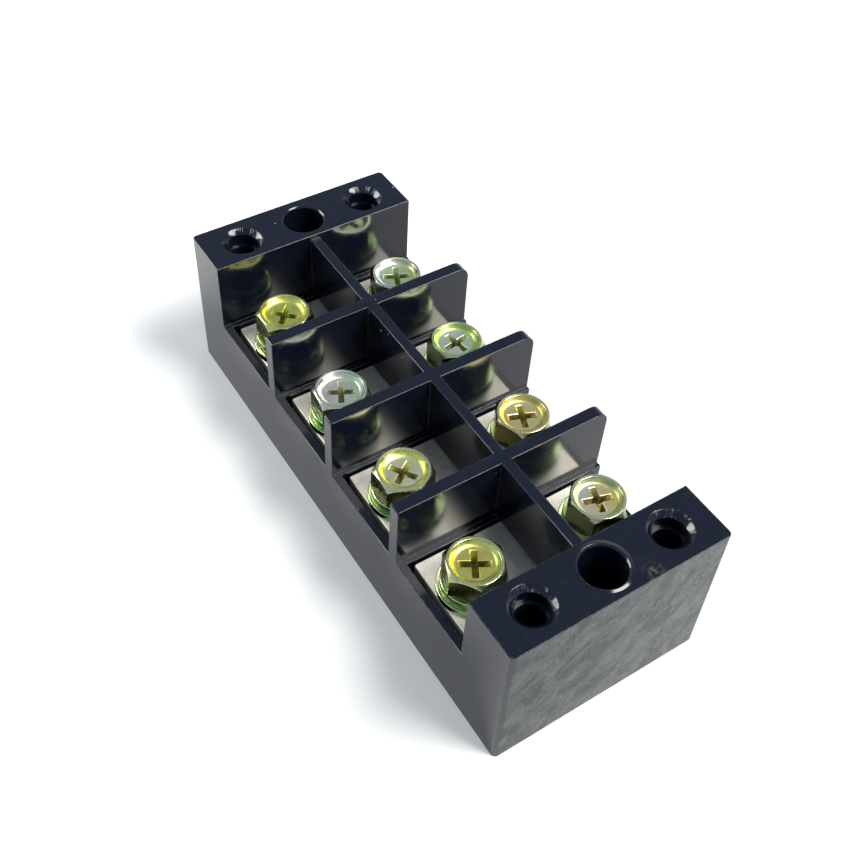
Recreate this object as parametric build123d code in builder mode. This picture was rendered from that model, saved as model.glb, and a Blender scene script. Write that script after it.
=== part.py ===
from build123d import *
import os
from math import cos, pi, radians, sin, tan

# Terminal block for four circuits, with a double row of screws. Millimetres, +Z up.
# The origin is the middle of the base underside, and X runs along the block.

# Housing, along the block
length = 105.4
end_cell_extra = 0.4
barrier_thickness = 2.4
block_thickness = 11.1

# Housing, across the block
bar_length = 36.5
bar_end_gap = 1.25
rim_thickness = 1.5
rib_thickness = 2.0
rib_offset = 0.25

# Housing, heights
floor_height = 12.6
ledge_rise = 0.9
barrier_rise = 13.6
block_rise = 1.0

# Terminal bars
bar_side_margin = 1.05
bar_thickness = 2.5
bar_corner = 0.4
bar_side_clearance = 0.3
rib_clearance = 0.8

# Screws, thread M6
thread_radius = 3.0
thread_clearance = 0.05
shank_length = 12.0
tip_clearance = 1.5
tip_chamfer = 0.5
well_clearance = 1.0
screw_inset = 5.85
head_across_flats = 9.5
head_height = 4.6
crown_radius = 4.65
crown_slope = 45.0
dish_radius = 4.15
dish_floor_radius = 3.45
dish_depth = 0.9
recess_span = 5.2
recess_foot_span = 2.6
recess_arm = 1.1
recess_depth = 2.2

# Washers
washer_bore_clearance = 0.2
flat_washer_radius = 6.0
flat_washer_thickness = 1.4
spring_washer_radius = 5.4
spring_washer_thickness = 1.5
spring_gap = 0.6
spring_gap_slant = 20.0
coil_clearance = 0.03

# Holes in the end blocks
hole_inset = 5.8
mounting_hole_radius = 3.85
mounting_hole_chamfer = 0.3
cover_hole_inset = 7.8
cover_hole_radius = 2.9
cover_hole_chamfer = 0.95
cover_hole_mouth = 3.4
cover_hole_core_radius = 2.5
cover_hole_depth = 14.0

# Moulded edges
edge_radius = 0.15
corner_radius = 0.9
barrier_rear_radius = 2.4
barrier_front_radius = 0.4
barrier_root = 1.0

# How each screw was left, from the -X end: the hexagon, the cross and how far it is backed off
rows = {"front": -1, "rear": 1}
hexagon_turn = {"front": (0, -6, -1, -22), "rear": (-20, -3, 24, 14)}
cross_turn = {"front": (45, 63, 33, 60), "rear": (65, 10, 68, 73)}
gap_turn = {"front": (150, 110, 165, 130), "rear": (95, 140, 120, 160)}
backed_off = {"front": (1.4, 0, 0, 0), "rear": (0, 0, 0, 0)}

# Places along the block, worked out from the sizes above
circuits = len(backed_off["front"])
block_face = length / 2 - block_thickness
open_length = 2 * block_face - (circuits - 1) * barrier_thickness
middle_cell = (open_length - 2 * end_cell_extra) / circuits
cells = [middle_cell] * circuits
cells[0] += end_cell_extra
cells[-1] += end_cell_extra
bar_width = middle_cell - 2 * bar_side_margin
cell_centres = []
barrier_centres = []
reach = -block_face
for cell in cells:
    cell_centres.append(reach + cell / 2)
    barrier_centres.append(reach + cell + barrier_thickness / 2)
    reach += cell + barrier_thickness
barrier_centres.pop()

# Places across the block and heights
width = bar_length + 2 * (bar_end_gap + rim_thickness)
row_spacing = bar_length - 2 * screw_inset
cover_hole_spacing = width - 2 * cover_hole_inset
pocket_width = bar_width + 2 * bar_side_clearance
pocket_front = -width / 2 + rim_thickness
bar_top = floor_height + bar_thickness
base_height = bar_top + ledge_rise
barrier_top = base_height + barrier_rise
block_top = barrier_top + block_rise
rib_foot = bar_top + rib_clearance
seat_height = bar_top + flat_washer_thickness + spring_washer_thickness
well_floor = seat_height - shank_length - tip_clearance
hole_reach = length / 2 - hole_inset
washer_bore = thread_radius + washer_bore_clearance

os.makedirs("parts", exist_ok=True)


def save(part, name):
    """Label a finished piece and write its file."""
    part.label = name
    export_step(part, f"parts/{name}.step")


# Barrier blank, its foot sunk into the base, rounded at its upper outer corners
with BuildPart() as barrier:
    with BuildSketch(Plane.YZ):
        with Locations((0, base_height - barrier_root)):
            Rectangle(width, barrier_rise + barrier_root, align=(Align.CENTER, Align.MIN))
        fillet(vertices().group_by(Axis.Y)[-1].sort_by(Axis.X)[0], barrier_front_radius)
        fillet(vertices().group_by(Axis.Y)[-1].sort_by(Axis.X)[-1], barrier_rear_radius)
    extrude(amount=barrier_thickness / 2, both=True)
    outline = barrier.edges().filter_by(Axis.X, reverse=True).filter_by(Plane.YZ)
    fillet(outline - barrier.edges().group_by(Axis.Z)[0], edge_radius)

# Housing: one black moulding with end blocks, barriers, rib, base and rim
with BuildPart() as housing:
    with BuildSketch(Plane.XY):
        Rectangle(length, width)
    extrude(amount=base_height)

    # End blocks
    with BuildSketch(Plane.XY.offset(base_height)):
        with Locations((-length / 2 + block_thickness / 2, 0), (length / 2 - block_thickness / 2, 0)):
            Rectangle(block_thickness, width)
    extrude(amount=block_top - base_height)
    upright = housing.edges().filter_by(Axis.Z).group_by(Axis.X)
    fillet(upright[0] + upright[-1], corner_radius)
    fillet(housing.faces().filter_by(Axis.Z).group_by(Axis.Z)[-1].edges(), edge_radius)
    long_edges = housing.edges().filter_by(Axis.X).filter_by_position(Axis.Z, base_height, base_height)
    fillet(long_edges, edge_radius)

    # Barriers between the circuits
    with Locations(*[(centre, 0, 0) for centre in barrier_centres]):
        add(barrier.part)

    # Rib along the middle, between the two rows of screws
    with BuildSketch(Plane.YZ.offset(-block_face)):
        with Locations((-rib_offset, base_height)):
            Rectangle(rib_thickness, barrier_rise, align=(Align.CENTER, Align.MIN))
        fillet(vertices().group_by(Axis.Y)[-1], edge_radius)
    extrude(amount=2 * block_face)

    # Pockets for the bars, open at the rear and passing under the rib
    with BuildSketch(Plane.XY.offset(floor_height)):
        with Locations(*[(centre, pocket_front) for centre in cell_centres]):
            Rectangle(pocket_width, width / 2 - pocket_front, align=(Align.CENTER, Align.MIN))
    extrude(amount=rib_foot - floor_height, mode=Mode.SUBTRACT)
    rib_front = -rib_offset - rib_thickness / 2
    rib_rear = -rib_offset + rib_thickness / 2
    with BuildSketch(Plane.XY.offset(rib_foot)):
        for centre in cell_centres:
            with Locations((centre, pocket_front)):
                Rectangle(pocket_width, rib_front - pocket_front, align=(Align.CENTER, Align.MIN))
            with Locations((centre, rib_rear)):
                Rectangle(pocket_width, width / 2 - rib_rear, align=(Align.CENTER, Align.MIN))
    extrude(amount=base_height - rib_foot, mode=Mode.SUBTRACT)

    # Blind wells that take the screw tips
    with BuildSketch(Plane.XY.offset(well_floor)):
        for side in rows.values():
            with Locations(*[(centre, side * row_spacing / 2) for centre in cell_centres]):
                Circle(thread_radius + well_clearance)
    extrude(amount=floor_height - well_floor, mode=Mode.SUBTRACT)

    # Holes in the end blocks
    with Locations((-hole_reach, 0, block_top), (hole_reach, 0, block_top)):
        Hole(mounting_hole_radius)
    with Locations(Plane.XY.offset(block_top)):
        with GridLocations(2 * hole_reach, cover_hole_spacing, 2, 2):
            CounterBoreHole(cover_hole_core_radius, cover_hole_radius, cover_hole_mouth, cover_hole_depth)
    mouths = housing.edges().filter_by(GeomType.CIRCLE).group_by(Axis.Z)[-1]
    chamfer(mouths.filter_by(lambda edge: edge.radius > (mounting_hole_radius + cover_hole_radius) / 2),
            mounting_hole_chamfer)
    mouths = housing.edges().filter_by(GeomType.CIRCLE).group_by(Axis.Z)[-1]
    chamfer(mouths.filter_by(lambda edge: edge.radius < (mounting_hole_radius + cover_hole_radius) / 2),
            cover_hole_chamfer)
save(housing.part, "housing")

# Terminal bars, one for each circuit, tapped for a screw at each end
for number, centre in enumerate(cell_centres, 1):
    with BuildPart() as bar:
        with BuildSketch(Plane((centre, 0, floor_height))):
            RectangleRounded(bar_width, bar_length, bar_corner)
            with GridLocations(0, row_spacing, 1, 2):
                Circle(thread_radius + thread_clearance, mode=Mode.SUBTRACT)
        extrude(amount=bar_thickness)
    save(bar.part, f"terminal_bar_{number}")


def build_screw(axis_x, axis_y, seat, hexagon, cross):
    """Hexagon screw with a dished head and a cross recess, its head seated at a height."""
    corner_radius = head_across_flats / 2 / cos(pi / 6)
    outside = corner_radius + thread_radius
    slope_end = head_height - (outside - crown_radius) * tan(radians(crown_slope))
    dish_floor = head_height - dish_depth
    section = Plane((axis_x, axis_y, seat), x_dir=(1, 0, 0), z_dir=(0, -1, 0))
    with BuildPart() as screw:
        with BuildSketch(Plane((axis_x, axis_y, seat))):
            RegularPolygon(corner_radius, 6, rotation=hexagon)
        extrude(amount=head_height)

        # Crown turned down at the corners, then the dish pressed into it
        with BuildSketch(section):
            with BuildLine():
                Polyline((crown_radius, head_height), (outside, head_height), (outside, slope_end), close=True)
            make_face()
            with BuildLine():
                Polyline((0, head_height), (dish_radius, head_height), (dish_floor_radius, dish_floor),
                         (0, dish_floor), close=True)
            make_face()
        revolve(axis=Axis((axis_x, axis_y, 0), (0, 0, 1)), mode=Mode.SUBTRACT)

        # Cross recess, drawn in towards its foot
        for level, span in ((dish_floor, recess_span), (dish_floor - recess_depth, recess_foot_span)):
            with BuildSketch(Plane((axis_x, axis_y, seat + level))):
                Rectangle(span, recess_arm, rotation=cross)
                Rectangle(recess_arm, span, rotation=cross)
        loft(ruled=True, mode=Mode.SUBTRACT)

        # Plain shank at the thread's outer size
        with BuildSketch(Plane((axis_x, axis_y, seat - shank_length))):
            Circle(thread_radius)
        extrude(amount=shank_length)
        chamfer(screw.edges().group_by(Axis.Z)[0], tip_chamfer)
    return screw.part


def build_spring_washer(axis_x, axis_y, foot, opening, turn):
    """Split ring of square wire, flat under a tight screw and a single open coil under a loose one."""
    mean_radius = (spring_washer_radius + washer_bore) / 2
    wire_width = spring_washer_radius - washer_bore
    radial = (cos(radians(turn)), sin(radians(turn)), 0)
    with BuildPart() as ring:
        if opening > 0:
            share = 1 - spring_gap / (2 * pi * mean_radius)
            rise = opening - 2 * coil_clearance
            start = foot + coil_clearance + spring_washer_thickness / 2
            with BuildLine(Plane((axis_x, axis_y, start), x_dir=radial)) as coil:
                Helix(rise / share, rise, mean_radius, lefthand=True)
            with BuildSketch(Plane(coil.line @ 0, x_dir=radial, z_dir=coil.line % 0)):
                Rectangle(wire_width, spring_washer_thickness)
            sweep(path=coil.line, is_frenet=True)
        else:
            with BuildSketch(Plane((axis_x, axis_y, foot))):
                Circle(spring_washer_radius)
                Circle(washer_bore, mode=Mode.SUBTRACT)
            extrude(amount=spring_washer_thickness)
            tangent = (-sin(radians(turn)), cos(radians(turn)), 0)
            with BuildSketch(Plane((axis_x, axis_y, foot + spring_washer_thickness / 2),
                                   x_dir=tangent, z_dir=radial)):
                Rectangle(spring_gap, 2 * spring_washer_thickness, rotation=spring_gap_slant)
            extrude(amount=spring_washer_radius + spring_gap, mode=Mode.SUBTRACT)
    return ring.part


# Screws with their captive washers, in two rows
for row, side in rows.items():
    for place, centre in enumerate(cell_centres):
        axis_y = side * row_spacing / 2
        opening = backed_off[row][place]
        screw = build_screw(centre, axis_y, seat_height + opening, hexagon_turn[row][place],
                            cross_turn[row][place])
        save(screw, f"screw_{row}_{place + 1}")
        ring = build_spring_washer(centre, axis_y, bar_top + flat_washer_thickness, opening,
                                   gap_turn[row][place])
        save(ring, f"spring_washer_{row}_{place + 1}")
        with BuildPart() as flat_washer:
            with BuildSketch(Plane((centre, axis_y, bar_top))):
                Circle(flat_washer_radius)
                Circle(washer_bore, mode=Mode.SUBTRACT)
            extrude(amount=flat_washer_thickness)
        save(flat_washer.part, f"flat_washer_{row}_{place + 1}")
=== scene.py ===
import math

import bmesh
import bpy
from mathutils import Euler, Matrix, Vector


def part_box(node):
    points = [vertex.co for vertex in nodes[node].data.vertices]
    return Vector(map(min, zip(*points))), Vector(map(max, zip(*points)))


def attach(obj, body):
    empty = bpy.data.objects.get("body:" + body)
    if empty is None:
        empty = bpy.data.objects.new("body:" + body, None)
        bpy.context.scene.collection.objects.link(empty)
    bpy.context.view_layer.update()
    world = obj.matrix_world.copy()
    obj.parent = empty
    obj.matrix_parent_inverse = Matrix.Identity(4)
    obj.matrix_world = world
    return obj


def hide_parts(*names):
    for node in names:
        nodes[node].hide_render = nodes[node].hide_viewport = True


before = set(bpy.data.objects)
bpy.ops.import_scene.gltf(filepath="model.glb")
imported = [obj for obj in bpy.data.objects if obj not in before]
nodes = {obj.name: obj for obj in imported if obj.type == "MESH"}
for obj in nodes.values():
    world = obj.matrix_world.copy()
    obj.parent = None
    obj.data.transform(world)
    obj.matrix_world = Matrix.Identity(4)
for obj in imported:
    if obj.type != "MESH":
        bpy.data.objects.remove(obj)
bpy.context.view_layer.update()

# Camera: hand-held above the near end of the block, a little to the front, looking along it.
# The view was fitted to the corners of the block, so the lens is slightly shifted.
# The sizes of the block are written in millimetres, which MM turns into metres.
MM = 0.001
camera_data = bpy.data.cameras.new("camera")
camera_data.sensor_width = 36.0
camera_data.lens = 48.91
camera_data.shift_x = 0.0017
camera_data.shift_y = -0.0592
camera_data.clip_start = 10 * MM
camera = bpy.data.objects.new("camera", camera_data)
camera.location = Vector((111.47, -80.12, 174.61)) * MM
camera.rotation_euler = Euler([math.radians(angle) for angle in (43.29, -2.36, 57.50)])
bpy.context.scene.collection.objects.link(camera)
bpy.context.scene.camera = camera
bpy.context.scene.view_settings.view_transform = "Standard"


# Floor: matt white card on which the block stands, wide enough to fill every view.
# It is left plain and pale, so that only the soft shadow of the block shows on it.
def linear(code):
    """An sRGB hex colour as linear red, green, blue and alpha."""
    parts = [int(code[i:i + 2], 16) / 255 for i in (1, 3, 5)]
    return tuple(c / 12.92 if c <= 0.04045 else ((c + 0.055) / 1.055) ** 2.4 for c in parts) + (1.0,)


def add_node(tree, kind, inputs=None, **settings):
    """Add a node with its settings and inputs; a node given as an input passes its first output."""
    node = tree.nodes.new(kind)
    for key, value in settings.items():
        setattr(node, key, value)
    for key, value in (inputs or {}).items():
        if isinstance(value, bpy.types.Node):
            value = next(output for output in value.outputs if output.enabled)
        if isinstance(value, bpy.types.NodeSocket):
            tree.links.new(value, node.inputs[key])
        else:
            node.inputs[key].default_value = value
    return node


def new_material(name):
    """A material with an empty node tree."""
    material = bpy.data.materials.new(name)
    material.use_nodes = True
    material.node_tree.nodes.clear()
    return material, material.node_tree


reach = 3.0
corners = [(-reach, -reach, 0), (reach, -reach, 0), (reach, reach, 0), (-reach, reach, 0)]
floor_mesh = bpy.data.meshes.new("floor")
floor_mesh.from_pydata(corners, [], [(0, 1, 2, 3)])
floor = bpy.data.objects.new("floor", floor_mesh)
bpy.context.scene.collection.objects.link(floor)
card, tree = new_material("white_card")
surface = add_node(tree, "ShaderNodeBsdfPrincipled", {"Base Color": linear("#d7d8d6"), "Roughness": 0.8})
add_node(tree, "ShaderNodeOutputMaterial", {"Surface": surface})
floor_mesh.materials.append(card)


# Light: a pale room, and a square window high on the right, 1.9 m away so that the floor is evenly lit.
# It stands where the bars throw their glare into the barriers. A small fill, low on the left and a
# little beyond the block, opens the shadows there. Places and sizes of the lights are in metres.
def softbox(name, place, size, watts, colour):
    """A square area light that faces the middle of the block."""
    data = bpy.data.lights.new(name, "AREA")
    data.size = size
    data.energy = watts
    data.color = linear(colour)[:3]
    light = bpy.data.objects.new(name, data)
    light.location = place
    middle = Vector((0, 0, 0.015))
    light.rotation_euler = (middle - light.location).to_track_quat("-Z", "Y").to_euler()
    bpy.context.scene.collection.objects.link(light)


softbox("window_light", Vector((0.86, 0.79, 1.47)), 0.95, 61.0, "#fffefa")
softbox("low_fill", Vector((-0.44, -0.33, 0.29)), 0.3, 4.0, "#fffdf8")
# The room is palest near the floor and turns a duller blue-grey overhead
world = bpy.data.worlds.new("room")
world.use_nodes = True
sky = world.node_tree
sky.nodes.clear()
direction = add_node(sky, "ShaderNodeTexCoord").outputs["Generated"]
height = add_node(sky, "ShaderNodeSeparateXYZ", {"Vector": direction}).outputs["Z"]
walls = add_node(sky, "ShaderNodeValToRGB", {"Fac": height})
walls.color_ramp.elements[0].position = 0.08
walls.color_ramp.elements[0].color = linear("#e6e8ea")
walls.color_ramp.elements[1].position = 0.42
walls.color_ramp.elements[1].color = linear("#929db2")
room_light = add_node(sky, "ShaderNodeBackground", {"Color": walls, "Strength": 1.0})
add_node(sky, "ShaderNodeOutputWorld", {"Surface": room_light})
bpy.context.scene.world = world


# Housing: one glossy black phenolic moulding, with base, end blocks, barriers and rib in one piece.
# The mould leaves flow marks on the ends, and handling leaves pale scuffed edges and a few dust specks.
# The edges are paler still with a painted highlight, the chamfer flecks are painted glints, and the ends
# are painted paler to the rear.
def copy_of(node, piece):
    """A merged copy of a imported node, flat areas joined into single faces."""
    same_point = 0.0005 * MM
    same_plane = math.radians(0.5)
    mesh = nodes[node].data.copy()
    mesh.name = piece
    form = bmesh.new()
    form.from_mesh(mesh)
    bmesh.ops.remove_doubles(form, verts=form.verts, dist=same_point)
    bmesh.ops.dissolve_limit(form, angle_limit=same_plane, verts=form.verts, edges=form.edges)
    form.to_mesh(mesh)
    form.free()
    mesh.materials.clear()
    copy = bpy.data.objects.new(piece, mesh)
    bpy.context.scene.collection.objects.link(copy)
    return copy


def settle(piece):
    """Turn what the modifiers make into the piece's own plain mesh."""
    evaluated = piece.evaluated_get(bpy.context.evaluated_depsgraph_get())
    settled = bpy.data.meshes.new_from_object(evaluated)
    piece.modifiers.clear()
    piece.data = settled


def press_inside(piece, low, high):
    """Where a bevel overshot the first outline, squeeze the outermost skin back inside it."""
    skin = 0.01 * MM
    rounding_error = 0.00001 * MM
    for axis in range(3):
        for side, limit in ((-1, low[axis]), (1, high[axis])):
            over = max(side * (vert.co[axis] - limit) for vert in piece.data.vertices)
            for vert in piece.data.vertices:
                depth = side * (vert.co[axis] - limit) + skin
                if over > rounding_error and depth > 0:
                    vert.co[axis] = limit + side * (depth * skin / (over + skin) - skin)


def round_edges(piece, width, segments):
    """Bevel the sharp edges and shade smoothly, with the large flat faces left flat."""
    bevelled_above = math.radians(30)
    shaded_sharp_above = math.radians(35)
    low = [min(vert.co[axis] for vert in piece.data.vertices) for axis in range(3)]
    high = [max(vert.co[axis] for vert in piece.data.vertices) for axis in range(3)]
    bevel = piece.modifiers.new("rounded edges", "BEVEL")
    bevel.width = width
    bevel.segments = segments
    bevel.limit_method = "ANGLE"
    bevel.angle_limit = bevelled_above
    settle(piece)
    press_inside(piece, low, high)
    piece.data.shade_smooth()
    piece.data.set_sharp_from_angle(angle=shaded_sharp_above)
    flat = piece.modifiers.new("flat faces", "WEIGHTED_NORMAL")
    flat.keep_sharp = True
    flat.weight = 100
    settle(piece)


def edge_wear_and_highlight_mask(tree, radius):
    """1 along edges, for wear and a painted highlight, and 0 on flat faces, from how far a rounded
    normal leaves the true one.
    """
    rounded = add_node(tree, "ShaderNodeBevel", {"Radius": radius}, samples=4)
    true = add_node(tree, "ShaderNodeNewGeometry").outputs["Normal"]
    agreement = add_node(tree, "ShaderNodeVectorMath", {0: rounded, 1: true}, operation="DOT_PRODUCT")
    return add_node(tree, "ShaderNodeMapRange",
                    {"Value": agreement, "From Min": 0.995, "From Max": 0.80})


def border_lines(tree, clouds, level):
    """Thin lines where a cloudy pattern passes one level, as along the border of a flow mark."""
    above = add_node(tree, "ShaderNodeMath", {0: clouds, 1: level}, operation="SUBTRACT")
    away = add_node(tree, "ShaderNodeMath", {0: above}, operation="ABSOLUTE")
    return add_node(tree, "ShaderNodeMapRange", {"Value": away, "From Min": 0.012, "From Max": 0.0})


def from_upright_axis(tree, place, axis):
    """The level offset from an upright axis, and the distance from it."""
    offset = add_node(tree, "ShaderNodeVectorMath", {0: place, 1: axis}, operation="SUBTRACT")
    level = add_node(tree, "ShaderNodeVectorMath", {0: offset, 1: (1, 1, 0)}, operation="MULTIPLY")
    distance = add_node(tree, "ShaderNodeVectorMath", {0: level}, operation="LENGTH")
    return level, distance


# Black phenolic, compression moulded: deep black with a clear gloss on the long sides and barriers.
# The ends are cloudy and half matt. In each colour mix, 0 is the share, 6 the first colour and 7 the
# second, and a noise's scale is the number of its cells in a metre.
plastic, tree = new_material("black_moulded_phenolic")
place = add_node(tree, "ShaderNodeTexCoord").outputs["Object"]
along, across, up = add_node(tree, "ShaderNodeSeparateXYZ", {"Vector": place}).outputs
from_middle = add_node(tree, "ShaderNodeMath", {0: along}, operation="ABSOLUTE")
end_face = add_node(tree, "ShaderNodeMapRange",
                    {"Value": from_middle, "From Min": 52.5 * MM, "From Max": 52.65 * MM})
# Flow marks on the ends: clouds 4.3 mm across that lean 55 degrees, with paler cores and sharp borders,
# crossed by dark veins 3.2 mm apart and broken up by a grain of 0.9 mm
leaning = add_node(tree, "ShaderNodeVectorRotate", {"Vector": place, "Angle": math.radians(-55)},
                   rotation_type="X_AXIS")
drawn = add_node(tree, "ShaderNodeVectorMath", {0: leaning, 1: (1.0, 0.6, 1.0)}, operation="MULTIPLY")
clouds = add_node(tree, "ShaderNodeTexNoise",
                  {"Vector": drawn, "Scale": 230.0, "Detail": 5.0, "Roughness": 0.66, "Distortion": 0.8})
vein_clouds = add_node(tree, "ShaderNodeTexNoise",
                       {"Vector": drawn, "Scale": 310.0, "Detail": 5.0, "Roughness": 0.55,
                        "Distortion": 0.4})
fine = add_node(tree, "ShaderNodeTexNoise",
                {"Vector": place, "Scale": 1100.0, "Detail": 4.0, "Roughness": 0.7})
pale = add_node(tree, "ShaderNodeMapRange",
                {"Value": clouds, "From Min": 0.46, "From Max": 0.475, "To Max": 0.36})
paler = add_node(tree, "ShaderNodeMapRange",
                 {"Value": clouds, "From Min": 0.54, "From Max": 0.555, "To Min": 0.1, "To Max": 0.4})
patches = add_node(tree, "ShaderNodeMath", {0: pale, 1: paler}, operation="ADD")
patches = add_node(tree, "ShaderNodeMath", {0: patches, 1: 0.55}, operation="MULTIPLY")
rims = border_lines(tree, clouds, 0.47)
veins = border_lines(tree, vein_clouds, 0.5)
flow = add_node(tree, "ShaderNodeMath", {0: fine, 1: 0.6, 2: patches}, operation="MULTIPLY_ADD")
flow = add_node(tree, "ShaderNodeMath", {0: rims, 1: 0.3, 2: flow}, operation="MULTIPLY_ADD")
flow = add_node(tree, "ShaderNodeMath", {0: veins, 1: -0.3, 2: flow}, operation="MULTIPLY_ADD")
flow = add_node(tree, "ShaderNodeMath", {0: flow, 1: end_face}, operation="MULTIPLY")
# The pale cores are painted paler towards the rear: a painted gradient of light across the ends
to_rear = add_node(tree, "ShaderNodeMapRange",
                   {"Value": across, "From Min": -20 * MM, "From Max": 20 * MM})
end_painted_paler_to_rear = add_node(tree, "ShaderNodeMix", {0: to_rear, 6: linear("#2c3330"), 7: linear("#474a48")},
                      data_type="RGBA")
colour = add_node(tree, "ShaderNodeMix", {0: flow, 6: linear("#0b0f1a"), 7: end_painted_paler_to_rear},
                  data_type="RGBA")
# Worn edges, speckled by a 0.4 mm grit where the gloss is rubbed off and paler with a painted highlight,
# but not in the cover holes, which stand in the same place in each quarter of the block
gritty = add_node(tree, "ShaderNodeTexNoise",
                  {"Vector": place, "Scale": 2600.0, "Detail": 3.0, "Roughness": 0.7})
grit = add_node(tree, "ShaderNodeMapRange", {"Value": gritty, "From Min": 0.47, "From Max": 0.62})
cover_hole = Vector((46.9, 13.2, 0)) * MM
folded = add_node(tree, "ShaderNodeVectorMath", {0: place}, operation="ABSOLUTE")
from_hole, hole_radius = from_upright_axis(tree, folded, cover_hole)
inside_hole = add_node(tree, "ShaderNodeMath", {0: hole_radius, 1: 4.2 * MM}, operation="LESS_THAN")
outside_hole = add_node(tree, "ShaderNodeMath", {0: 1.0, 1: inside_hole}, operation="SUBTRACT")
edge_wear_and_highlight = edge_wear_and_highlight_mask(tree, 0.3 * MM)
edge_wear_and_highlight = add_node(tree, "ShaderNodeMath", {0: edge_wear_and_highlight, 1: outside_hole}, operation="MULTIPLY")
scuffs_and_painted_highlight = add_node(tree, "ShaderNodeMath", {0: edge_wear_and_highlight, 1: grit}, operation="MULTIPLY")
# The pale edge colour is partly scuffing and partly a painted highlight
colour = add_node(tree, "ShaderNodeMix", {0: scuffs_and_painted_highlight, 6: colour, 7: linear("#6c7076")}, data_type="RGBA")
# Chamfers of the cover holes: cut rough, with pale flecks on the rear side of each hole, painted glints
# where the light catches them
around_hole = add_node(tree, "ShaderNodeSeparateXYZ", {"Vector": from_hole}).outputs
turn = add_node(tree, "ShaderNodeMath", {0: around_hole["Y"], 1: around_hole["X"]}, operation="ARCTAN2")
round_hole = add_node(tree, "ShaderNodeTexNoise",
                      {"W": turn, "Scale": 5.0, "Detail": 3.0, "Roughness": 0.7}, noise_dimensions="1D")
streaks = add_node(tree, "ShaderNodeMapRange", {"Value": round_hole, "From Min": 0.5, "From Max": 0.7})
past_mouth = add_node(tree, "ShaderNodeMapRange",
                      {"Value": hole_radius, "From Min": 2.8 * MM, "From Max": 2.95 * MM})
before_top = add_node(tree, "ShaderNodeMapRange",
                      {"Value": hole_radius, "From Min": 4.1 * MM, "From Max": 3.9 * MM})
chamfer = add_node(tree, "ShaderNodeMath", {0: past_mouth, 1: before_top}, operation="MULTIPLY")
near_top = add_node(tree, "ShaderNodeMath", {0: up, 1: 29.5 * MM}, operation="GREATER_THAN")
chamfer = add_node(tree, "ShaderNodeMath", {0: chamfer, 1: near_top}, operation="MULTIPLY")
signs = add_node(tree, "ShaderNodeVectorMath", {0: place}, operation="SIGN")
unfolded = add_node(tree, "ShaderNodeVectorMath", {0: from_hole, 1: signs}, operation="MULTIPLY")
rearward = add_node(tree, "ShaderNodeVectorMath", {0: unfolded, 1: (-0.4, 0.9, 0)},
                    operation="DOT_PRODUCT")
glinting_side = add_node(tree, "ShaderNodeMapRange",
                        {"Value": rearward, "From Min": 0.8 * MM, "From Max": 2.8 * MM})
broken = add_node(tree, "ShaderNodeTexNoise",
                  {"Vector": place, "Scale": 700.0, "Detail": 2.0, "Roughness": 0.5})
flakes = add_node(tree, "ShaderNodeMapRange", {"Value": broken, "From Min": 0.48, "From Max": 0.56})
glint_chips = add_node(tree, "ShaderNodeMath", {0: streaks, 1: flakes}, operation="MULTIPLY")
glint_chips = add_node(tree, "ShaderNodeMath", {0: glint_chips, 1: glinting_side}, operation="MULTIPLY")
glint_chips = add_node(tree, "ShaderNodeMath", {0: chamfer, 1: glint_chips}, operation="MULTIPLY")
# Pale flecks on the lit side of each chamfer: painted glints
colour = add_node(tree, "ShaderNodeMix", {0: glint_chips, 6: colour, 7: linear("#6f757d")}, data_type="RGBA")
# A brown scuff on the near top edge, 3 mm across
scuff_place = Vector((51.8, 5.9, 30.6)) * MM
from_scuff = add_node(tree, "ShaderNodeVectorMath", {0: place, 1: scuff_place}, operation="DISTANCE")
near_scuff = add_node(tree, "ShaderNodeMapRange",
                      {"Value": from_scuff, "From Min": 2.4 * MM, "From Max": 0.2 * MM})
speckled = add_node(tree, "ShaderNodeMapRange", {"Value": fine, "From Min": 0.48, "From Max": 0.62})
scuff = add_node(tree, "ShaderNodeMath", {0: near_scuff, 1: speckled}, operation="MULTIPLY")
colour = add_node(tree, "ShaderNodeMix", {0: scuff, 6: colour, 7: linear("#47443a")}, data_type="RGBA")
# Dust: specks 0.3 mm across in one of twenty cells of 1.6 mm, and 0.4 mm across in one of seven cells
# of 3.8 mm, drawn coarser than real dust
for cells, speck_radius, rarity in ((620.0, 0.1, 0.95), (260.0, 0.055, 0.86)):
    dust = add_node(tree, "ShaderNodeTexVoronoi", {"Vector": place, "Scale": cells})
    lot = add_node(tree, "ShaderNodeSeparateColor", {"Color": dust.outputs["Color"]}).outputs["Red"]
    drawn_lot = add_node(tree, "ShaderNodeMath", {0: lot, 1: rarity}, operation="GREATER_THAN")
    speck = add_node(tree, "ShaderNodeMapRange", {"Value": dust.outputs["Distance"],
                     "From Min": speck_radius, "From Max": 0.6 * speck_radius})
    speck = add_node(tree, "ShaderNodeMath", {0: speck, 1: drawn_lot}, operation="MULTIPLY")
    colour = add_node(tree, "ShaderNodeMix", {0: speck, 6: colour, 7: linear("#9a9fa6")},
                      data_type="RGBA")
# Faint smears left by handling, 2.4 mm across
smeared = add_node(tree, "ShaderNodeTexNoise",
                   {"Vector": place, "Scale": 420.0, "Detail": 5.0, "Roughness": 0.75,
                    "Distortion": 1.5})
smear = add_node(tree, "ShaderNodeMapRange", {"Value": smeared, "From Min": 0.56, "From Max": 0.72})
faint = add_node(tree, "ShaderNodeMath", {0: smear, 1: 0.3}, operation="MULTIPLY")
colour = add_node(tree, "ShaderNodeMix", {0: faint, 6: colour, 7: linear("#2b2c2b")}, data_type="RGBA")
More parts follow.
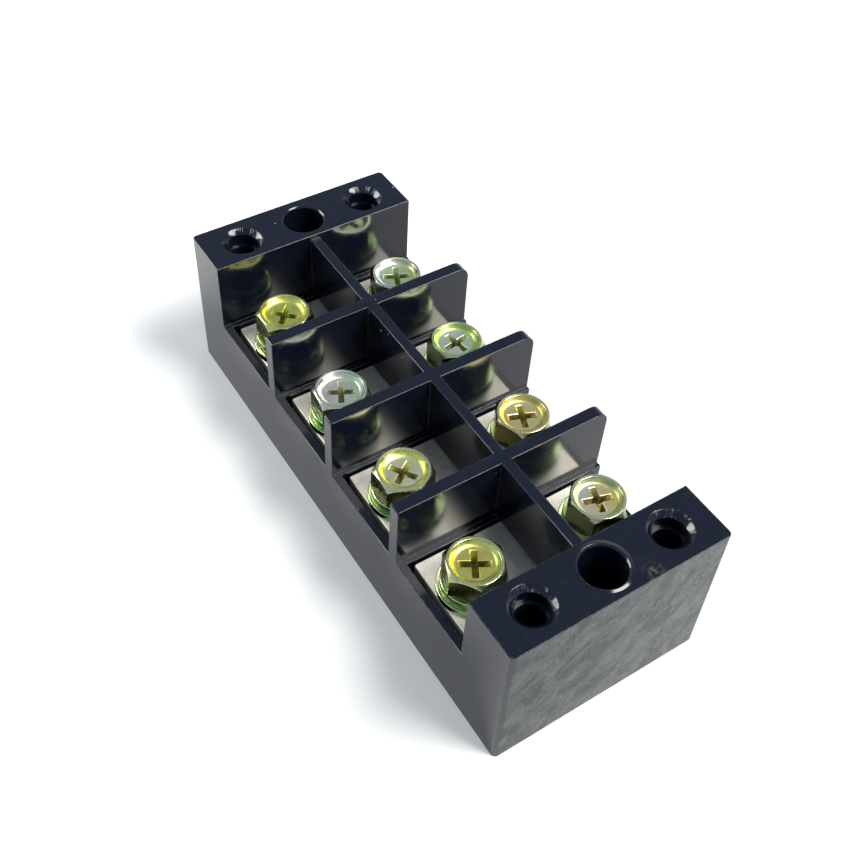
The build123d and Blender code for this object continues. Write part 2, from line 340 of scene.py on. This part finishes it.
# Roughness: low on the moulded faces, higher on the ends, the painted glint flecks and the rubbed edges.
# On the ends the pale patches are glossier than the matt ground, so they show in a grazing view too.
wavy = add_node(tree, "ShaderNodeTexNoise",
                {"Vector": place, "Scale": 160.0, "Detail": 4.0, "Roughness": 0.6})
moulded = add_node(tree, "ShaderNodeMapRange",
                   {"Value": wavy, "From Min": 0.3, "From Max": 0.7, "To Min": 0.09, "To Max": 0.17})
moulded = add_node(tree, "ShaderNodeMath", {0: smear, 1: 0.06, 2: moulded}, operation="MULTIPLY_ADD")
matt_end = add_node(tree, "ShaderNodeMapRange",
                    {"Value": flow, "From Min": 0.2, "From Max": 0.75, "To Min": 0.48, "To Max": 0.25})
sleeker_rear = add_node(tree, "ShaderNodeMapRange",
                        {"Value": across, "From Min": -20 * MM, "From Max": 20 * MM,
                         "To Min": 1.1, "To Max": 0.78})
matt_end = add_node(tree, "ShaderNodeMath", {0: matt_end, 1: sleeker_rear}, operation="MULTIPLY")
matt_end = add_node(tree, "ShaderNodeMath", {0: end_face, 1: matt_end}, operation="MULTIPLY")
rubbed_off = add_node(tree, "ShaderNodeMath", {0: edge_wear_and_highlight, 1: 0.45}, operation="MULTIPLY")
glint_chip_roughness = add_node(tree, "ShaderNodeMath", {0: glint_chips, 1: 0.3}, operation="MULTIPLY")
roughness = add_node(tree, "ShaderNodeMath", {0: moulded, 1: matt_end}, operation="MAXIMUM")
roughness = add_node(tree, "ShaderNodeMath", {0: roughness, 1: rubbed_off}, operation="MAXIMUM")
roughness = add_node(tree, "ShaderNodeMath", {0: roughness, 1: glint_chip_roughness}, operation="MAXIMUM")
# Relief: flow marks, the painted glint flecks, a lip raised round the near mounting hole where the mould
# closed, and orange peel 1.1 mm across, faint on every face
relief = add_node(tree, "ShaderNodeBump", {"Height": flow, "Strength": 0.7, "Distance": 0.12 * MM})
relief = add_node(tree, "ShaderNodeBump",
                  {"Height": glint_chips, "Strength": 0.7, "Distance": 0.12 * MM, "Normal": relief})
mounting_hole = Vector((46.9, 0, 0)) * MM
mounting_radius = from_upright_axis(tree, place, mounting_hole)[1]
lip = add_node(tree, "ShaderNodeMapRange",
               {"Value": mounting_radius, "From Min": 4.75 * MM, "From Max": 4.25 * MM})
on_top = add_node(tree, "ShaderNodeMath", {0: up, 1: 30.3 * MM}, operation="GREATER_THAN")
lip = add_node(tree, "ShaderNodeMath", {0: lip, 1: on_top}, operation="MULTIPLY")
relief = add_node(tree, "ShaderNodeBump",
                  {"Height": lip, "Strength": 0.9, "Distance": 0.25 * MM, "Normal": relief})
peel = add_node(tree, "ShaderNodeTexNoise",
                {"Vector": place, "Scale": 900.0, "Detail": 2.0, "Roughness": 0.5})
relief = add_node(tree, "ShaderNodeBump",
                  {"Height": peel, "Strength": 0.25, "Distance": 0.01 * MM, "Normal": relief})
surface = add_node(tree, "ShaderNodeBsdfPrincipled",
                   {"IOR": 1.44, "Base Color": colour, "Roughness": roughness, "Normal": relief})
add_node(tree, "ShaderNodeOutputMaterial", {"Surface": surface})
housing = copy_of("housing", "moulded_housing")
round_edges(housing, 0.08 * MM, 2)
housing.data.materials.append(plastic)
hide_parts("housing")
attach(housing, "block")

# Terminal bars: four flat bars of brass strip, blanked, drilled and barrel-plated with tin.
# Each lies in its pocket under the rib, and the screws at its two ends hold it.
# Barrel-plated tin: pale, grainy and half glossy, a little dull in patches 2 mm across, with small pits
tinned, tree = new_material("barrel_tin_plate")
place = add_node(tree, "ShaderNodeTexCoord").outputs["Object"]
dull = add_node(tree, "ShaderNodeTexNoise",
                {"Vector": place, "Scale": 480.0, "Detail": 4.0, "Roughness": 0.65})
# Plating grain: drawn 0.35 mm across, coarser than real tin crystals
grain = add_node(tree, "ShaderNodeTexNoise",
                 {"Vector": place, "Scale": 2900.0, "Detail": 3.0, "Roughness": 0.75})
pits = add_node(tree, "ShaderNodeTexNoise",
                {"Vector": place, "Scale": 1500.0, "Detail": 2.0, "Roughness": 0.5})
pitted = add_node(tree, "ShaderNodeMapRange", {"Value": pits, "From Min": 0.66, "From Max": 0.74})
pitted = add_node(tree, "ShaderNodeMath", {0: pitted, 1: 0.45}, operation="MULTIPLY")
shade = add_node(tree, "ShaderNodeMath", {0: grain, 1: 0.6, 2: dull}, operation="MULTIPLY_ADD")
shade = add_node(tree, "ShaderNodeMapRange", {"Value": shade, "From Min": 0.5, "From Max": 1.05})
colour = add_node(tree, "ShaderNodeMix", {0: shade, 6: linear("#dcd6c6"), 7: linear("#fbf5e5")},
                  data_type="RGBA")
colour = add_node(tree, "ShaderNodeMix", {0: pitted, 6: colour, 7: linear("#8d8878")}, data_type="RGBA")
roughness = add_node(tree, "ShaderNodeMapRange", {"Value": shade, "To Min": 0.26, "To Max": 0.38})
relief = add_node(tree, "ShaderNodeBump", {"Height": grain, "Strength": 0.6, "Distance": 0.03 * MM})
surface = add_node(tree, "ShaderNodeBsdfPrincipled",
                   {"Metallic": 0.4, "Base Color": colour, "Roughness": roughness, "Normal": relief})
add_node(tree, "ShaderNodeOutputMaterial", {"Surface": surface})
for number in range(1, 5):
    bar = copy_of(f"terminal_bar_{number}", f"tinned_bar_{number}")
    round_edges(bar, 0.2 * MM, 3)
    bar.data.materials.append(tinned)
    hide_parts(f"terminal_bar_{number}")
    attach(bar, "block")


# Screws: cold-headed steel, thread rolled, then zinc plated and yellow passivated.
# The thin film shines from silver through yellow and green to pink, a little different on each head.
def passivated_zinc(name, film, head=None, seed=0.0):
    """Zinc whose film drifts between two colours; a head has its own floor, wall and rim colours."""
    material, tree = new_material(name)
    place = add_node(tree, "ShaderNodeTexCoord").outputs["Object"]
    # The film changes over 3 mm. Its stains are 0.3 to 0.7 mm across, finer on some heads.
    cloud = add_node(tree, "ShaderNodeTexNoise",
                     {"Vector": place, "W": seed, "Scale": 330.0, "Detail": 2.5, "Roughness": 0.55,
                      "Distortion": 0.8}, noise_dimensions="4D")
    share = add_node(tree, "ShaderNodeMapRange", {"Value": cloud, "From Min": 0.35, "From Max": 0.65})
    stain = add_node(tree, "ShaderNodeTexNoise",
                     {"Vector": place, "Scale": 1500.0 + 90.0 * seed, "Detail": 3.0, "Roughness": 0.7})
    roughness = add_node(tree, "ShaderNodeMapRange",
                         {"Value": stain, "From Min": 0.3, "From Max": 0.7,
                          "To Min": 0.18, "To Max": 0.30})
    facing = add_node(tree, "ShaderNodeNewGeometry").outputs["Normal"]
    facing_up = add_node(tree, "ShaderNodeSeparateXYZ", {"Vector": facing}).outputs["Z"]
    level = add_node(tree, "ShaderNodeMath", {0: facing_up}, operation="ABSOLUTE")
    upright = add_node(tree, "ShaderNodeMapRange", {"Value": level, "From Min": 0.4, "From Max": 0.15})
    if head is None:
        colour = add_node(tree, "ShaderNodeMix", {0: share, 6: linear(film[0]), 7: linear(film[1])},
                          data_type="RGBA")
        # Upright faces of the washers are darker: a painted dark reflection
        upright = add_node(tree, "ShaderNodeMath", {0: upright, 1: 0.6}, operation="MULTIPLY")
        colour = add_node(tree, "ShaderNodeMix", {0: upright, 6: colour, 7: linear("#7f9468")},
                          data_type="RGBA", blend_type="MULTIPLY")
    else:
        # The film leans from its front colour to its rear one across the head
        from_axis, radius = from_upright_axis(tree, place, head)
        rearward = add_node(tree, "ShaderNodeVectorMath", {0: from_axis, 1: (0.35, 0.93, 0)},
                            operation="DOT_PRODUCT")
        lean = add_node(tree, "ShaderNodeMapRange",
                        {"Value": rearward, "From Min": -3.5 * MM, "From Max": 3.5 * MM,
                         "To Min": -0.1, "To Max": 0.6})
        share = add_node(tree, "ShaderNodeMath", {0: share, 1: 0.5, 2: lean}, operation="MULTIPLY_ADD")
        colour = add_node(tree, "ShaderNodeMix", {0: share, 6: linear(film[0]), 7: linear(film[1])},
                          data_type="RGBA")
        wall = add_node(tree, "ShaderNodeMix", {0: lean, 6: linear(film[2]), 7: linear(film[3])},
                        data_type="RGBA")
        on_wall = add_node(tree, "ShaderNodeMapRange",
                           {"Value": radius, "From Min": 2.7 * MM, "From Max": 3.7 * MM})
        colour = add_node(tree, "ShaderNodeMix", {0: on_wall, 6: colour, 7: wall}, data_type="RGBA")
        on_rim = add_node(tree, "ShaderNodeMapRange",
                          {"Value": radius, "From Min": 4.05 * MM, "From Max": 4.2 * MM, "To Max": 0.8})
        colour = add_node(tree, "ShaderNodeMix", {0: on_rim, 6: colour, 7: linear(film[4])},
                          data_type="RGBA")
        # The dish is duller than the rim
        in_dish = add_node(tree, "ShaderNodeMapRange",
                           {"Value": radius, "From Min": 4.2 * MM, "From Max": 3.9 * MM})
        dish = add_node(tree, "ShaderNodeMapRange",
                        {"Value": stain, "From Min": 0.3, "From Max": 0.7,
                         "To Min": 0.32, "To Max": 0.42})
        dish = add_node(tree, "ShaderNodeMath", {0: in_dish, 1: dish}, operation="MULTIPLY")
        roughness = add_node(tree, "ShaderNodeMath", {0: roughness, 1: dish}, operation="MAXIMUM")
        # The foot of the recess is darkened with painted shade
        up = add_node(tree, "ShaderNodeSeparateXYZ", {"Vector": place}).outputs["Z"]
        painted_recess_shade = add_node(tree, "ShaderNodeMapRange",
                        {"Value": up, "From Min": head[2] - 1.5 * MM, "From Max": head[2] - 3.0 * MM})
        in_recess = add_node(tree, "ShaderNodeMath", {0: radius, 1: 3.1 * MM}, operation="LESS_THAN")
        painted_recess_shade = add_node(tree, "ShaderNodeMath", {0: painted_recess_shade, 1: in_recess}, operation="MULTIPLY")
        colour = add_node(tree, "ShaderNodeMix", {0: painted_recess_shade, 6: colour, 7: linear("#8a8650")},
                          data_type="RGBA", blend_type="MULTIPLY")
        # The six flats of the head are darker: a painted dark reflection
        outside = add_node(tree, "ShaderNodeMath", {0: radius, 1: 4.4 * MM}, operation="GREATER_THAN")
        flats_painted_dark = add_node(tree, "ShaderNodeMath", {0: upright, 1: outside}, operation="MULTIPLY")
        colour = add_node(tree, "ShaderNodeMix", {0: flats_painted_dark, 6: colour, 7: linear("#656a56")},
                          data_type="RGBA", blend_type="MULTIPLY")
    # Edges are paler and brighter: partly rubbed wear, partly a painted highlight
    patchy = add_node(tree, "ShaderNodeMapRange",
                      {"Value": stain, "From Min": 0.35, "From Max": 0.6, "To Min": 0.4, "To Max": 0.95})
    edge_wear_and_highlight = edge_wear_and_highlight_mask(tree, 0.22 * MM)
    rubbed_and_highlit = add_node(tree, "ShaderNodeMath", {0: edge_wear_and_highlight, 1: patchy}, operation="MULTIPLY")
    colour = add_node(tree, "ShaderNodeMix", {0: rubbed_and_highlit, 6: colour, 7: linear("#f6f8e2")},
                      data_type="RGBA")
    stained = add_node(tree, "ShaderNodeMapRange",
                       {"Value": stain, "From Min": 0.35, "From Max": 0.7,
                        "To Min": 0.86, "To Max": 1.0})
    colour = add_node(tree, "ShaderNodeVectorMath", {0: colour, "Scale": stained}, operation="SCALE")
    polish = add_node(tree, "ShaderNodeMapRange", {"Value": rubbed_and_highlit, "To Min": 1.0, "To Max": 0.6})
    roughness = add_node(tree, "ShaderNodeMath", {0: roughness, 1: polish}, operation="MULTIPLY")
    relief = add_node(tree, "ShaderNodeBump", {"Height": stain, "Strength": 0.4, "Distance": 0.03 * MM})
    surface = add_node(tree, "ShaderNodeBsdfPrincipled",
                       {"Metallic": 1.0, "Base Color": colour, "Roughness": roughness, "Normal": relief})
    add_node(tree, "ShaderNodeOutputMaterial", {"Surface": surface})
    return material


def thread_tree():
    """Geometry nodes for a rolled thread: a ridge wound round a core, with a plain neck above it."""
    group = bpy.data.node_groups.new("rolled_thread", "GeometryNodeTree")
    make = group.interface.new_socket
    sizes = {"Axis foot": (0, 0, 0), "Thread length": 9.5 * MM, "Shank length": 12.3 * MM,
             "Pitch": 1.0 * MM, "Core radius": 2.5 * MM, "Ridge height": 0.5 * MM}
    for label, value in sizes.items():
        kind = "NodeSocketVector" if label == "Axis foot" else "NodeSocketFloat"
        make(label, in_out="INPUT", socket_type=kind).default_value = value
    make("Finish", in_out="INPUT", socket_type="NodeSocketMaterial")
    make("Thread", in_out="OUTPUT", socket_type="NodeSocketGeometry")
    given = group.nodes.new("NodeGroupInput").outputs
    # The ridge: a square profile wound up a right-hand helix, half of it sunk in the core
    turns = add_node(group, "ShaderNodeMath", {0: given["Thread length"], 1: given["Pitch"]},
                     operation="DIVIDE")
    coil = add_node(group, "GeometryNodeCurveSpiral",
                    {"Resolution": 28, "Rotations": turns, "Reverse": True,
                     "Start Radius": given["Core radius"], "End Radius": given["Core radius"],
                     "Height": given["Thread length"]})
    lift = add_node(group, "ShaderNodeCombineXYZ", {"Z": given["Ridge height"]})
    lifted = add_node(group, "GeometryNodeTransform", {"Geometry": coil, "Translation": lift})
    upright = add_node(group, "GeometryNodeSetCurveNormal", {"Curve": lifted}, mode="Z_UP")
    ridge = add_node(group, "GeometryNodeCurvePrimitiveCircle",
                     {"Resolution": 4, "Radius": given["Ridge height"]})
    wound = add_node(group, "GeometryNodeCurveToMesh",
                     {"Curve": upright, "Profile Curve": ridge, "Fill Caps": True})
    # The core: it stands on the foot and runs a little way into the head
    core = add_node(group, "GeometryNodeMeshCylinder",
                    {"Vertices": 40, "Radius": given["Core radius"], "Depth": given["Shank length"]})
    half = add_node(group, "ShaderNodeMath", {0: given["Shank length"], 1: 0.5}, operation="MULTIPLY")
    middle = add_node(group, "ShaderNodeCombineXYZ", {"Z": half})
    stood = add_node(group, "GeometryNodeTransform", {"Geometry": core, "Translation": middle})
    joined = add_node(group, "GeometryNodeJoinGeometry")
    group.links.new(wound.outputs["Mesh"], joined.inputs["Geometry"])
    group.links.new(stood.outputs["Geometry"], joined.inputs["Geometry"])
    placed = add_node(group, "GeometryNodeTransform",
                      {"Geometry": joined, "Translation": given["Axis foot"]})
    real = add_node(group, "GeometryNodeRealizeInstances", {"Geometry": placed})
    finished = add_node(group, "GeometryNodeSetMaterial",
                        {"Geometry": real, "Material": given["Finish"]})
    add_node(group, "NodeGroupOutput", {"Thread": finished})
    return group


def threaded_shank(piece, foot, finish):
    """The rolled thread of one screw as a plain mesh object, its tip at the given point."""
    mesh = bpy.data.meshes.new(piece)
    shank = bpy.data.objects.new(piece, mesh)
    bpy.context.scene.collection.objects.link(shank)
    wind = shank.modifiers.new("rolled thread", "NODES")
    wind.node_group = rolled_thread
    values = {"Axis foot": foot, "Finish": finish}
    for item in rolled_thread.interface.items_tree:
        if item.in_out == "INPUT":
            value = values.get(item.name, item.default_value)
            wind[item.identifier] = value[:] if item.socket_type == "NodeSocketVector" else value
    settle(shank)
    return shank


def cut_shank(screw, level):
    """Cut the plain shank off a copied screw just under its head and close the cut."""
    form = bmesh.new()
    form.from_mesh(screw.data)
    whole = form.verts[:] + form.edges[:] + form.faces[:]
    cut = bmesh.ops.bisect_plane(form, geom=whole, plane_co=(0, 0, level), plane_no=(0, 0, 1),
                                 clear_inner=True)
    rim = [edge for edge in cut["geom_cut"] if isinstance(edge, bmesh.types.BMEdge)]
    bmesh.ops.edgeloop_fill(form, edges=rim)
    bmesh.ops.recalc_face_normals(form, faces=form.faces)
    form.to_mesh(screw.data)
    form.free()


def soften(screw, axis, level, near, far, width):
    """Round the edges at one level between two distances from the screw's axis."""
    same_level = 0.02 * MM
    sharp = math.radians(20)
    form = bmesh.new()
    form.from_mesh(screw.data)

    def on_ring(vert):
        distance = math.hypot(vert.co.x - axis[0], vert.co.y - axis[1])
        return abs(vert.co.z - level) < same_level and near < distance < far

    ring = [edge for edge in form.edges if all(on_ring(vert) for vert in edge.verts)
            and len(edge.link_faces) == 2 and edge.calc_face_angle() > sharp]
    bmesh.ops.bevel(form, geom=ring, offset=width, segments=4, affect="EDGES", profile=0.5,
                    clamp_overlap=True)
    form.to_mesh(screw.data)
    form.free()


rolled_thread = thread_tree()
# A stub of the plain shank stays under each head and takes in the upper end of the thread's core
shank_length = 12.0 * MM
plain_stub = 0.3 * MM
dish_depth = 0.9 * MM
# Film colours of each head: floor at the front and rear, wall of the dish at the front and rear, rim
films = {"front": (("#d8dc74", "#e2e67c", "#e6ea72", "#eeee86", "#eeee9c"),
                   ("#f2e6e2", "#d8f0c4", "#eee4e0", "#ccf0c0", "#e6f2d0"),
                   ("#f4ecbe", "#ecf0c4", "#ecec86", "#e8ec66", "#f6f2bc"),
                   ("#d2d06c", "#dccf78", "#ecea74", "#cfe498", "#eaf0b0")),
         "rear": (("#d4e6e6", "#e8ee84", "#dce8e0", "#e6ec78", "#ecf2d4"),
                  ("#eeeaf0", "#dcf2b4", "#c8e27c", "#d2ea74", "#e2eeb4"),
                  ("#f0d686", "#e4e4b2", "#f4dc88", "#eee67c", "#f6eab2"),
                  ("#e2e0d4", "#ecd880", "#dfe6c0", "#e4e86a", "#eaf0be"))}
for row in ("front", "rear"):
    for number in range(1, 5):
        low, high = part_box(f"screw_{row}_{number}")
        axis = ((low[0] + high[0]) / 2, (low[1] + high[1]) / 2)
        head_top = Vector((axis[0], axis[1], high[2]))
        seed = number * 1.7 + (row == "rear") * 9.0
        film = films[row][number - 1]
        zinc = passivated_zinc(f"yellow_passivated_zinc_{row}_{number}", film, head_top, seed)
        screw = copy_of(f"screw_{row}_{number}", f"hexagon_screw_{row}_{number}")
        cut_shank(screw, low[2] + shank_length - plain_stub)
        # The edge of the dish floor is pressed soft, and the lips of the cross recess a little
        soften(screw, axis, high[2] - dish_depth, 3.3 * MM, 3.6 * MM, 0.75 * MM)
        soften(screw, axis, high[2] - dish_depth, 0.0, 2.8 * MM, 0.2 * MM)
        round_edges(screw, 0.12 * MM, 3)
        screw.data.materials.append(zinc)
        shank = threaded_shank(f"rolled_thread_{row}_{number}", (axis[0], axis[1], low[2]), zinc)
        form = bmesh.new()
        form.from_mesh(screw.data)
        form.from_mesh(shank.data)
        form.to_mesh(screw.data)
        form.free()
        bpy.data.objects.remove(shank)
        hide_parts(f"screw_{row}_{number}")
        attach(screw, f"screw_{row}_{number}")

# Washers: a spring washer and a flat washer held on each screw, plated in the same bath.
# They come out greener than the heads, with bright rims, partly rubbed by the barrel and partly a
# painted highlight;
# their upright faces carry a painted dark reflection.
washer_zinc = passivated_zinc("green_yellow_passivated_zinc", ("#a9cf8e", "#e2e6b0"))
for row in ("front", "rear"):
    for number in range(1, 5):
        for kind in ("spring_washer", "flat_washer"):
            washer = copy_of(f"{kind}_{row}_{number}", f"zinc_{kind}_{row}_{number}")
            round_edges(washer, 0.15 * MM, 3)
            washer.data.materials.append(washer_zinc)
            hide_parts(f"{kind}_{row}_{number}")
            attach(washer, f"washers_{row}_{number}")
